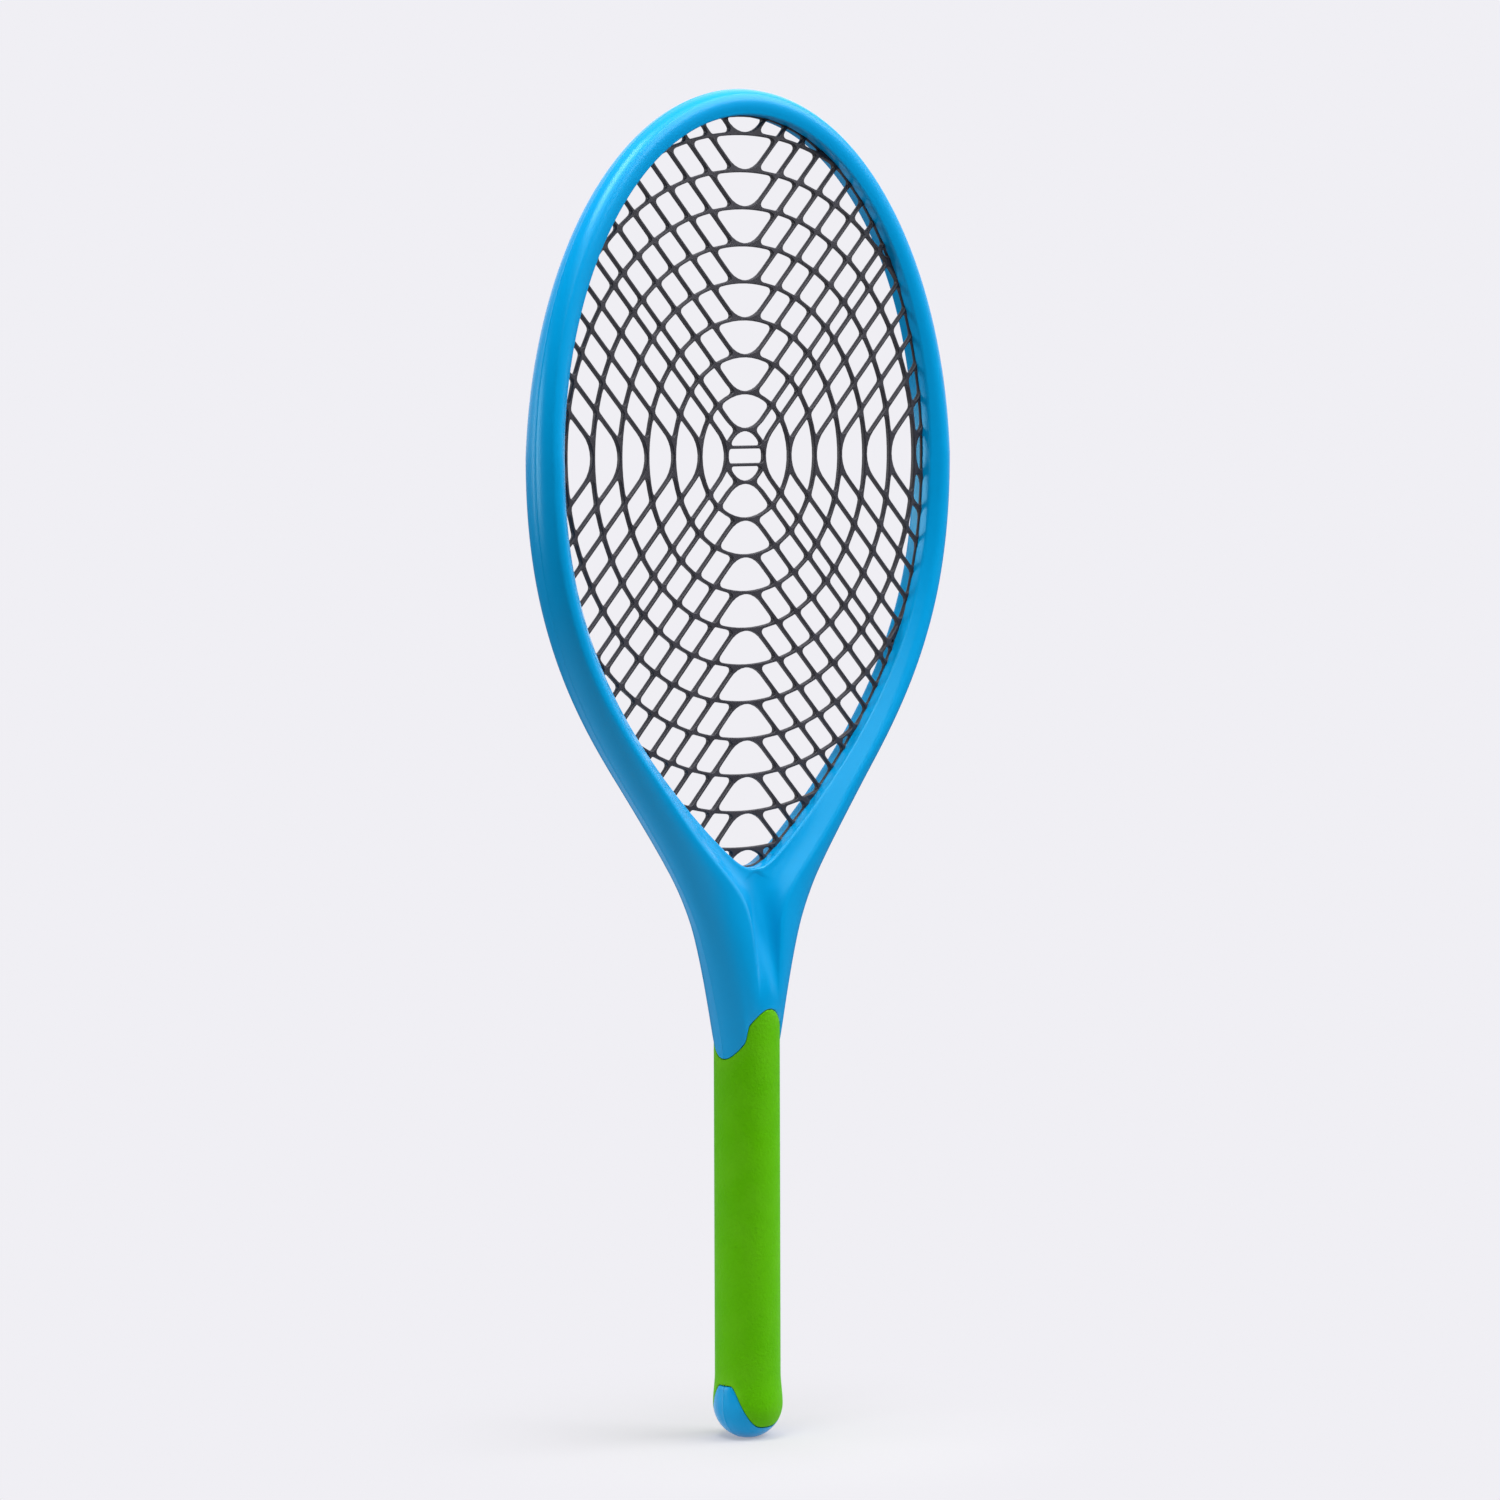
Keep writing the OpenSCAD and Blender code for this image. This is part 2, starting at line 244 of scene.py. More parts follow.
# Radius of handle and butt at a height: an ellipse below the butt's widest place, a smooth step above
def handleRadius(z):
    h = handle
    drop = h["buttZ"] / math.sqrt(1 - (h["footR"] / h["buttR"]) ** 2)
    below = h["buttR"] * np.sqrt(np.maximum(1 - ((h["buttZ"] - z) / drop) ** 2, 0))
    above = mix(h["buttR"], h["gripR"], smooth((z - h["buttZ"]) / h["buttEase"]))
    return np.where(z >= h["buttZ"], above, below)


# A finished object from points in millimetres: points times a thousandth, faces turned outwards, edges
# over sharpAngle degrees left sharp, and how much each point's colour is lightened as a point attribute:
# painted highlight on the frame, painted light on the strings' flat faces, lighter ends on the sleeve
def addMesh(name, points, faces, body, nodes, material, lightening, sharpAngle=38):
    mesh = bpy.data.meshes.new(name)
    mesh.from_pydata((np.asarray(points) * 0.001).tolist(), [], faces)
    solid = bmesh.new()
    solid.from_mesh(mesh)
    bmesh.ops.recalc_face_normals(solid, faces=solid.faces)
    solid.to_mesh(mesh)
    solid.free()
    mesh.attributes.new("lightening", "FLOAT", "POINT").data.foreach_set("value", np.asarray(lightening, np.float32))
    mesh.update()
    mesh.shade_smooth()
    mesh.set_sharp_from_angle(angle=math.radians(sharpAngle))
    piece = bpy.data.objects.new(name, mesh)
    bpy.context.collection.objects.link(piece)
    mesh.materials.append(material)
    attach(piece, body)
    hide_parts(*nodes)
    return piece


# Joins points that lie in the same place and drops faces that this folds up
def welded(points, quads):
    _, first, back = np.unique(np.round(points, 4), axis=0, return_index=True, return_inverse=True)
    quads = back.reshape(-1)[quads]
    a, b, c, d = quads.T
    good = (a != b) & (b != c) & (c != d) & (d != a) & (a != c) & (b != d)
    threes = np.r_[quads[(a == b)][:, 1:], quads[(b == c)][:, [0, 1, 3]],
                   quads[(c == d)][:, :3], quads[(d == a)][:, :3]]
    a, b, c = threes.T
    return first, quads[good], threes[(a != b) & (b != c) & (a != c)], back.reshape(-1)


# The two half shells: rows along the racket, columns round the section, and the roundings
shell = {
    "hoopRows": 120, "sideRows": 150, "throatRows": 90, "coreRows": 20, "buttRows": 26,
    "wallCols": 4, "filletCols": 7, "slopeCols": 13, "crestCols": 9, "flankCols": 19, "vaultCols": 9,
    "edgeRound": 0.9,       # rounding where the inner wall meets the slope
    "crestRound": 3.4,      # rounding of the crest round the hoop, less towards the throat
    "crestMost": 0.6,       # the most that this rounding takes of the way to the outer edge
    "ridge": 0.12,          # raised seam left by the mould, on the outermost edge
    "ridgeW": 0.3,
    "lip": 0.4,             # rounding of the frame's edges against the sleeve
    "edgeCosines": np.array([0.045, 0.03, 0.015, 0.0]),     # columns close to the outermost edge
    "leanPower": 0.9,       # how far the trough's columns move towards its floor
    "cupShare": 0.9,        # shape of the hollow beside the point
    "scoopPower": 3.4,      # and down the trough, where its floor is flatter
    "easeRows": 60, "easeBelow": 10, "easePasses": 120,     # rows eased round the point, and how often
    "crestDrop": 0.2,       # the hollow stays this much more below the crest
    "wallDrop": 1.1,        # and this much below the inner wall's top
    "coreShare": 0.66,      # radius of the hollow in the handle, as a share of the handle's
    "coreUp": 1.0,          # how far its rows stand above the sleeve's upper edge at the start
    "buttWall": 2.6,        # thickness of the butt's floor
    "buttOver": 25,         # height over which the hollow follows the butt
    "recessCrowd": 1.5, "hollowCrowd": 1.2,     # powers that crowd the handle's rows downwards
    "lightened": {16: (1.0, 3.5), -2: (0.8, 2.5)},     # painted highlight, a lighter colour along the crest and the rounded inner edge: columns from the rounded edge, how much, how wide
    "highlightZ": 235, "highlightOver": 40,     # where the painted highlight fades out down the throat
}


# Points in space from places in plan and a height: (x, z) and the height make (x, height, z)
def lift(plan, height):
    return np.stack([plan[..., 0], height, plan[..., 1]], -1)


# Quadratic Bezier curve in every row, from p0 to p2 with its corner at p1
def bend(p0, p1, p2, t):
    t = t[None, :, None]
    return (1 - t) ** 2 * p0[:, None] + 2 * t * (1 - t) * p1[:, None] + t * t * p2[:, None]


# Outside of the head's section in every row: the wall, a rounded edge, the slope to the crest, the
# rounded crest and a quarter ellipse down to the outermost edge; it turns into a circle at the sleeve
def headOutside(rows, rim):
    o, n, c = rows["open"], rows["norm"], rows["crest"]
    high, low, tip = rows["high"], rows["low"], rows["tip"]
    rise = unit(np.c_[np.linalg.norm(c - o, axis=1), high - low])
    corner = lift(o, low)
    outward = np.stack([n[:, 0] * rise[:, 0], rise[:, 1], n[:, 1] * rise[:, 0]], -1)
    wallTop = corner - np.array([0, shell["edgeRound"], 0])
    slopeStart = corner + shell["edgeRound"] * outward
    wallLow = lift(o, np.full(len(o), racket["grooveH"]))
    t = np.linspace(0, 1, shell["wallCols"])[None, :-1, None]
    wall = mix(wallLow[:, None], wallTop[:, None], t)
    fillet = bend(wallTop, corner, slopeStart, np.linspace(0, 1, shell["filletCols"]))
    slopeStart[tip + 1:] = corner[tip + 1:]
    fillet[:, -1] = slopeStart

    crest = lift(c, high)
    crestRound = shell["crestRound"] * rows["soft"]
    slopeEnd = crest - crestRound[:, None] * unit(crest - slopeStart)
    part = np.linspace(0, 1, shell["slopeCols"])[None, 1:]
    slope = mix(slopeStart[:, None], slopeEnd[:, None], part[..., None])
    leaned = part ** (1 + shell["leanPower"] * rows["lean"][:, None])
    slope[..., 2] = mix(slopeStart[:, 2:], slopeEnd[:, 2:], leaned)
    cup = part ** 2 * (1 + shell["cupShare"] - shell["cupShare"] * part)
    hollow = mix(cup, part ** shell["scoopPower"], rows["scoop"][:, None])
    slope[..., 1] += rows["pocket"][:, None] * (hollow - part) * (slopeEnd - slopeStart)[:, 1:2]

    span = np.linalg.norm(rim - c, axis=1)
    turn = np.arcsin(np.clip(crestRound / span, 0, shell["crestMost"]))
    flankStart = lift(mix(c, rim, np.sin(turn)[:, None]), high * np.cos(turn))
    top = bend(slopeEnd, crest, flankStart, np.linspace(0, 1, shell["crestCols"]))[:, 1:]
    last = np.arccos(shell["edgeCosines"])
    a = mix(turn[:, None], last[0], np.linspace(0, 1, shell["flankCols"])[None, 1:])
    a = np.c_[a, np.tile(last[1:], (len(a), 1))]
    flank = lift(mix(c[:, None], rim[:, None], np.sin(a)[..., None]), high[:, None] * np.cos(a))

    outer = np.concatenate([wall, fillet, slope, top, flank], 1)
    centre = wall.shape[1] + fillet.shape[1] - 1        # last column of the rounded edge
    # ease the rows round the point, from the slope outwards
    beside = np.exp(-((np.arange(len(outer)) - tip - shell["easeBelow"]) / shell["easeRows"]) ** 4)
    loose = np.ones(outer.shape[1])
    loose[:centre + 1] = 0
    loose[centre + 1:centre + 1 + part.shape[1]] = smooth(2 * part[0])
    outer = easedRows(outer, beside[:, None, None] * loose[None, :, None], shell["easePasses"])

    # the same section drawn as a circle, which takes over towards the sleeve
    turn = np.arcsin(np.clip(outer[..., 0] / np.maximum(outer[:, -1:, 0], tiny), 0, 1))
    circle = np.stack([handle["gripR"] * np.sin(turn), handle["gripR"] * np.cos(turn),
                       sleeveTop(np.degrees(turn)) + shell["lip"]], -1)
    return mix(outer, circle, rows["round"][:, None, None]), centre, turn[-1]


# Inside of the head's section: a quarter ellipse one wall further in, then straight to the inner wall;
# it turns into a smaller circle at the sleeve
def headHollow(rows, rim, wallIn):
    c = rows["crest"]
    rimIn = rim + racket["wall"] * unit(c - rim)
    high = rows["high"][:, None] - racket["wall"] - shell["crestDrop"]
    low = np.minimum(rows["low"][:, None] - shell["wallDrop"], high)
    b = (np.pi / 2 * (1 - np.linspace(0, 1, shell["vaultCols"])))[None]
    vault = lift(mix(c[:, None], rimIn[:, None], np.sin(b)[..., None]), high * np.cos(b))
    t = np.linspace(0, 1, shell["wallCols"])[None, 1:, None]
    slope = mix(lift(c, high[:, 0])[:, None], lift(wallIn, low[:, 0])[:, None], t)
    hollow = np.concatenate([vault, slope], 1)
    turn = np.linspace(np.pi / 2, 0, hollow.shape[1])[None]
    radius = shell["coreShare"] * handle["gripR"]
    core = np.stack([radius * np.sin(turn), radius * np.cos(turn),
                     sleeveTop(np.degrees(turn)) + shell["coreUp"]], -1)
    return mix(hollow, core, rows["round"][:, None, None]), turn


# Rows of the handle: circles of the handle's radius, cut down by the sleeve's recess and then ending in
# the butt, with the hollow inside them
def handleRows(alpha, turn):
    lip, cut = shell["lip"], handle["gripT"] + handle["gap"]
    mid = 0.3 * lip         # a rounded edge's middle point, in from both of its faces
    v = 1 - (1 - np.linspace(0, 1, shell["coreRows"] + 1)) ** shell["recessCrowd"]
    # each row of the recess has its share of the way down, its cut and its shift in height
    recess = np.r_[[[0, mid, mid], [0, lip, 0], [0, cut, 0]],
                   np.c_[v[1:-1], np.full(len(v) - 2, cut), np.zeros(len(v) - 2)],
                   [[1, cut, 0], [1, lip, 0], [1, mid, -mid]]]
    drop = np.sin(np.pi / 2 * np.linspace(0, 1, shell["buttRows"] + 1))
    zCore = mix(sleeveTop(alpha), sleeveLow(alpha), recess[:, :1])
    zButt = (sleeveLow(alpha) - lip) * (1 - drop[:, None])
    z = np.r_[zCore + recess[:, 2:], zButt]
    radius = np.r_[handleRadius(zCore) - recess[:, 1:2], handleRadius(zButt)]
    radians = np.radians(alpha)
    outside = np.stack([radius * np.sin(radians), radius * np.cos(radians), z], -1)

    down = np.linspace(0, 1, len(z) + 1)[1:, None]
    floor = shell["buttWall"]
    zIn = mix(sleeveTop(np.degrees(turn)) + shell["coreUp"], floor, 1 - (1 - down) ** shell["hollowCrowd"])
    follow = floor * np.clip(1 - (zIn - floor) / shell["buttOver"], 0, 1)
    radiusIn = shell["coreShare"] * handleRadius(np.maximum(zIn - follow, 0))
    hollow = np.stack([radiusIn * np.sin(turn), radiusIn * np.cos(turn), zIn], -1)
    return np.concatenate([outside, hollow, hollow[:, -1:]], 1)


# A quarter of the racket as one grid: rows along it, columns out over the section and back inside it
def shellGrid():
    rows = headRows(shell["hoopRows"], shell["sideRows"], shell["throatRows"])
    rim = rows["edge"] + unit(rows["crest"] - rows["edge"]) * shell["ridge"]
    outer, centre, turnOut = headOutside(rows, rim)
    wallIn = rows["open"] + racket["wall"] * rows["norm"]
    hollow, turnIn = headHollow(rows, rim, wallIn)
    land = lift(wallIn, np.full(len(wallIn), racket["grooveH"]))[:, None]
    alpha = np.degrees(turnOut)[None]
    grid = np.concatenate([np.concatenate([outer, hollow, land], 1), handleRows(alpha, turnIn)], 0)
    return grid, rows["tip"], centre, outer.shape[1] - 1, alpha[0, centre:]


# Seam left by the mould: a flat-topped bump along the outermost edge, square to that edge in plan,
# and none where the sleeve sits or at the foot
def raiseSeam(grid, centre, edgeCol):
    rowsN = len(grid)
    bump = shell["ridge"] * np.exp(-(grid[:, :edgeCol + 1, 1] / shell["ridgeW"]) ** 4)
    tangent = unit(np.gradient(grid[:, edgeCol, ::2], axis=0))
    out = np.c_[-tangent[:, 1], tangent[:, 0]]
    out[0] = [0, 1]
    keep = np.ones(rowsN)
    butt = rowsN - shell["buttRows"]
    keep[butt - shell["coreRows"] - 8:butt + 1] = 0
    keep[-3:] = 0
    amount = (bump * keep[:, None])[..., None] * np.insert(out, 1, 0, axis=1)[:, None]
    grid[:, centre + 1:edgeCol + 1] += amount[:, centre + 1:]


# Painted highlight at each point, a lighter colour standing in for the light along the crest and the
# rounded inner edge: bell curves across both, fading out down the throat
def shellHighlight(grid, centre, edgeCol):
    column = np.arange(grid.shape[1])
    paintedHighlight = 0
    for at, (much, wide) in shell["lightened"].items():
        paintedHighlight = paintedHighlight + much * np.exp(-((column - centre - at) / wide) ** 2)
    gone = np.clip((shell["highlightZ"] - grid[..., 2]) / shell["highlightOver"], 0, 1)
    return paintedHighlight * (column <= edgeCol) * (1 - gone)


# One half shell as a closed skin: the quarter and its mirror image, closed by a foot, a hollow end and
# a land between them; side is -1 for the front and 1 for the back
def buildShell(name, node, side, material):
    grid, tip, centre, edgeCol, _ = shellGrid()
    raiseSeam(grid, centre, edgeCol)
    rowsN, colsN = grid.shape[:2]
    lastIn = colsN - 2
    index = np.arange(rowsN * colsN).reshape(rowsN, colsN)
    nextCol = np.roll(index, -1, axis=1)
    quads = np.stack([index[:-1], nextCol[:-1], nextCol[1:], index[1:]], -1)
    colNo = np.arange(colsN)[None, :]
    rowNo = np.arange(rowsN - 1)[:, None]
    quads = quads[(rowNo < tip) | ((colNo >= centre) & (colNo < lastIn))]
    right = grid.reshape(-1, 3)
    offset = len(right)
    points = np.r_[right, right * [-1, 1, 1]]
    first, quads, threes, back = welded(points, np.r_[quads, quads[:, ::-1] + offset])
    # the painted highlight along the crest and the inner edge, carried as the point attribute that lightens
    # the colour
    lightening = np.tile(shellHighlight(grid, centre, edgeCol).ravel(), 2)[first]
    points = points[first] * [1, side, 1]

    last = index[-1]
    foot = np.r_[last[centre:edgeCol + 1][::-1] + offset, last[centre + 1:edgeCol + 1]]
    inner = np.r_[last[edgeCol + 1:lastIn + 1], last[edgeCol + 1:lastIn][::-1] + offset]
    land = np.array([last[edgeCol], last[edgeCol + 1], last[edgeCol + 1] + offset, last[edgeCol] + offset])
    caps = [back[f].tolist() for f in (foot[::-1], inner[::-1], land[::-1])]
    faces = quads.tolist() + threes.tolist() + caps
    if side > 0:        # the back mirrors the front, so its faces turn the other way
        faces = [f[::-1] for f in faces]
    # leave out the points that no face uses
    used = np.zeros(len(points), bool)
    used[np.concatenate([np.asarray(f) for f in (quads.ravel(), threes.ravel(), *caps)])] = True
    fresh = np.cumsum(used) - 1
    faces = [[int(fresh[i]) for i in f] for f in faces]
    piece = addMesh(name, points[used], faces, "root", [node], material, lightening[used])
    print(name, len(piece.data.polygons), "faces")
    return piece


# The string bed: rings round the middle, and chevrons that point up, down, right and left
strings = {
    "pitch": 14.45,         # from one ring or line to the next
    "firstR": 10.35,        # radius of the smallest ring
    "lastRing": 10,
    "chevrons": {(0, 1): 9, (0, -1): 11, (1, 0): 7, (-1, 0): 7},    # direction and how many
    "tipR": 13.4,           # rounded tips of the chevrons
    "width": 1.3,           # widest place of a string, at the middle plane
    "halfT": 1.1,           # half thickness of a string
    "rimT": 0.6,            # half thickness of the rim
    "landT": 0.55,          # and of its edge in the frame's groove
    "rimIn": 0.55,          # rim inside the opening
    "rimOut": 3.2,          # rim inside the frame
    "seatIn": 0.03,         # where the rim steps down, just inside the opening
    "thinTo": 0.7,          # the rim stays thin this far from the frame's wall
    "joinTo": 1.7,          # except closer than this to a string's middle
    "flareOver": 0.8,       # way over which it gets the strings' thickness
    "leastPoints": 14,      # an opening with no more points than this is a speck, and left out
    "corner": 1.3,          # radius in the corners of the mesh's openings
    "barCorner": 0.6, "rimCorner": 0.5,     # shares of that at the bars and at the rim
    "step": 0.3,            # grid on which the pattern is worked out
    "gridShift": 0.01,      # keeps the grid's lines off the middles of the strings
    "inset": np.array([0.0, 0.05, 0.16, 0.36]),     # section from the widest line to the flat face
    "rise": np.array([0.0, 0.6, 0.85, 1.0]),
}


# Distance to the nearest ring, from the radius less whole pitches, and the direction away from it
def ringField(x, z):
    s = strings
    r = np.hypot(x, z)
    k = np.clip(np.round((r - s["firstR"]) / s["pitch"]), 0, s["lastRing"])
    off = r - s["firstR"] - k * s["pitch"]
    return np.abs(off), np.stack([x, z]) / np.maximum(r, tiny) * np.sign(off)


# Distance to the nearest chevron: two arms at 45 degrees and a round tip that touches a ring
def chevronField(x, z):
    s = strings
    best = np.full(x.shape, farOff)
    grad = np.zeros((2,) + x.shape)
    half = math.sqrt(0.5)
    for (cx, cz), number in s["chevrons"].items():
        along = x * cx + z * cz
        across = x * cz - z * cx
        for k in range(number):
            q = along - (s["firstR"] + k * s["pitch"] + s["tipR"])
            arm = np.abs(across) + q > 0
            r = np.hypot(across, q)
            off = np.where(arm, (np.abs(across) - q) * half, r) - s["tipR"]
            ga = np.where(arm, -half, q / np.maximum(r, tiny)) * np.sign(off)
            gc = np.where(arm, half * np.sign(across), across / np.maximum(r, tiny)) * np.sign(off)
            closer = np.abs(off) < best
            best = np.where(closer, np.abs(off), best)
            grad = np.where(closer, np.stack([ga * cx + gc * cz, ga * cz - gc * cx]), grad)
    return best, grad


# Distance to two plain bars across the smallest ring, a third of its radius from the middle
def barField(x, z):
    off = np.abs(z) - strings["firstR"] / 3
    out = np.hypot(x, z) - strings["firstR"]
    grad = np.stack([np.zeros_like(z), np.sign(off) * np.sign(z)])
    return np.where(out < 0, np.abs(off), np.hypot(off, out)), grad


# The smaller of two distances, less a parabola near where they are equal, so that the corner between
# them is round; dot is the cosine between their directions
def eased(a, b, dot, radius):
    k = np.maximum(4 * radius * (1 - np.sqrt(np.clip((1 + dot) / 2, 0, 1))), tiny)
    h = np.maximum(k - np.abs(a - b), 0) / k
    return np.minimum(a, b) - h * h * k / 4


# Distance inwards from the edge of the opening, from its implicit curve over that curve's gradient
def outlineField(x, z):
    r = racket
    up = np.hypot(x / r["openHalf"], z / r["openUp"])
    upGrad = np.hypot(x / r["openHalf"] ** 2, z / r["openUp"] ** 2) / np.maximum(up, tiny)
    high = (1 - up) / np.maximum(upGrad, tiny)
    below = 3.0             # the lower curve is followed this far past its point
    drop = np.clip(-z, 0, r["openDown"] + below)
    p, q, power = r["dropPower"], 1 / r["sidePower"], r["pointPower"]
    f = np.clip(drop / r["pointReach"], 0, 1)
    body = 1 - f ** p
    sharp = r["openHalf"] * body ** q
    slope = r["openHalf"] / r["sidePower"] * body ** (q - 1) * p * f ** (p - 1) / r["pointReach"]
    cut = r["openHalf"] * (1 - (r["openDown"] / r["pointReach"]) ** p) ** q
    value = sharp ** power - cut ** power - np.abs(x) ** power
    grad = power * np.hypot(np.abs(x) ** (power - 1), sharp ** (power - 1) * slope)
    low = value / np.maximum(grad, tiny)
    return np.where(z > 0, high, np.where(-z > r["openDown"] + below, -below, low))


# Closed curves where a field crosses zero, with the positive side on the left: a crossing on each grid
# line by straight blend, then each cell links its crossings
def zeroLoops(xs, zs, field):
    pos = field > 0
    hx = pos[:-1] != pos[1:]
    vz = pos[:, :-1] != pos[:, 1:]
    idH = np.cumsum(hx.ravel()).reshape(hx.shape) - 1
    idV = np.cumsum(vz.ravel()).reshape(vz.shape) - 1 + hx.sum()
    i, j = np.nonzero(hx)
    t = field[i, j] / (field[i, j] - field[i + 1, j])
    pointsH = np.c_[mix(xs[i], xs[i + 1], t), zs[j]]
    i, j = np.nonzero(vz)
    t = field[i, j] / (field[i, j] - field[i, j + 1])
    points = np.r_[pointsH, np.c_[xs[i], mix(zs[j], zs[j + 1], t)]]
    edges = [idH[:, :-1], idV[1:], idH[:, 1:], idV[:-1]]        # bottom, right, top, left
    code = pos[:-1, :-1] + 2 * pos[1:, :-1] + 4 * pos[1:, 1:] + 8 * pos[:-1, 1:]
    # for each pattern of positive corners, the side a curve comes in by and the side it leaves by
    turns = {1: [(0, 3)], 2: [(1, 0)], 3: [(1, 3)], 4: [(2, 1)], 5: [(0, 3), (2, 1)], 6: [(2, 0)],
             7: [(2, 3)], 8: [(3, 2)], 9: [(0, 2)], 10: [(1, 0), (3, 2)], 11: [(1, 2)], 12: [(3, 1)],
             13: [(0, 1)], 14: [(3, 0)]}
    following = np.arange(len(points))
    for number, pairs in turns.items():
        here = code == number
        for a, b in pairs:
            following[edges[a][here]] = edges[b][here]
    # order along each curve by doubling the stride of the links
    count = len(points)
    doublings = 18          # enough for a curve of 260,000 points
    lead, jump = np.arange(count), following.copy()
    for _ in range(doublings):
        lead = np.minimum(lead, lead[jump])
        jump = jump[jump]
    first = lead == np.arange(count)
    jump = np.where(first, np.arange(count), following)
    left = np.where(first, 0, 1)
    for _ in range(doublings):
        left = left + left[jump]
        jump = jump[jump]
    left[first] = count
    order = np.lexsort((-left, lead))
    cuts = np.nonzero(np.diff(lead[order]))[0] + 1
    return np.split(points[order], cuts)


# A closed curve with points close together in its bends and far apart on its straights: the gap is the
# root of eight times the tolerance over the bend, within limits
def respaced(loop, fine=0.3, tolerance=0.06, longest=4.0, shortest=0.7):
    # points at equal distances along the curve
    def even(curve, spacing):
        closed = np.r_[curve, curve[:1]]
        s = np.r_[0, np.cumsum(np.linalg.norm(np.diff(closed, axis=0), axis=1))]
        count = max(int(round(s[-1] / spacing)), 12)
        at = np.arange(count) * s[-1] / count
        return np.c_[np.interp(at, s, closed[:, 0]), np.interp(at, s, closed[:, 1])], s[-1] / count
    p, ds = even(loop, fine)
    for _ in range(6):
        p = (np.roll(p, 1, 0) + 2 * p + np.roll(p, -1, 0)) / 4
    ahead = np.roll(p, -1, 0) - p
    angle = np.arctan2(ahead[:, 1], ahead[:, 0])
    turned = ((angle - np.roll(angle, 1) + np.pi) % (2 * np.pi) - np.pi) / ds
    turned = np.abs(np.mean([np.roll(turned, k) for k in (-2, -1, 0, 1, 2)], axis=0))
    turned = np.maximum.reduce([np.roll(turned, k) for k in (-1, 0, 1)])
    gap = np.clip(np.sqrt(8 * tolerance / np.maximum(turned, 1e-4)), shortest, longest)
    total = np.r_[0, np.cumsum(ds / gap)]
    count = max(int(math.ceil(total[-1])), 6)
    closed = np.r_[p, p[:1]]
    at = np.arange(count) * total[-1] / count
    return np.c_[np.interp(at, total, closed[:, 0]), np.interp(at, total, closed[:, 1])]


# A field's gradient divided by its length
def slopes(field):
    g = np.stack(np.gradient(field, strings["step"]))
    return g / np.maximum(np.hypot(*g), tiny)


# The pattern on a grid: distance to the strings' middles, distance inside the rim, and the field that
# is negative in the plastic and positive in the openings
def stringFields():
    s = strings
    margin = 2
    reach = racket["openHalf"] + margin
    xs = np.arange(-reach, reach, s["step"])
    zs = np.arange(-racket["openDown"] - margin, racket["openUp"] + margin, s["step"]) + s["gridShift"]
    x, z = np.meshgrid(xs, zs, indexing="ij")
    ringD, ringG = ringField(x, z)
    chevD, chevG = chevronField(x, z)
    barD, barG = barField(x, z)
    lineD = eased(ringD, chevD, (ringG * chevG).sum(0), s["corner"])
    lineD = eased(lineD, barD, (ringG * barG).sum(0), s["barCorner"] * s["corner"])
    bed = lineD - s["width"] / 2
    rim = outlineField(x, z) - s["rimIn"]
    dot = (slopes(bed) * slopes(rim)).sum(0)
    return xs, zs, lineD, rim, eased(bed, rim, dot, s["rimCorner"] * s["corner"])


# Flat faces between a closed outer edge and the openings' edges: triangles that all turn one way, with
# the seat's outline kept as a line between them
def flatFill(levelTop, seat, outer, starts, sizes):
    n, m = len(levelTop), len(seat)
    flat = np.r_[levelTop, seat, outer]
    ids = np.arange(n)
    faces = [list(range(n + 2 * m - 1, n + m - 1, -1))]
    faces += [ids[a:a + c].tolist() for a, c in zip(starts, sizes)]
    seatIds = np.arange(n, n + m)
    links = np.c_[seatIds, np.roll(seatIds, -1)].tolist()
    out = delaunay_2d_cdt([Vector(p) for p in flat.tolist()], links, faces, 1, tiny, True)
    back = np.array([v[0] for v in out[3]])
    fill = back[np.array([f for f, o in zip(out[2], out[5]) if list(o) == [0]])]
    if len(out[0]) != len(flat):
        print("the fill added points:", len(out[0]) - len(flat))
    p = flat[fill]
    area = np.cross(p[:, 1] - p[:, 0], p[:, 2] - p[:, 0])
    fill[area < 0] = fill[area < 0][:, ::-1]
    return fill


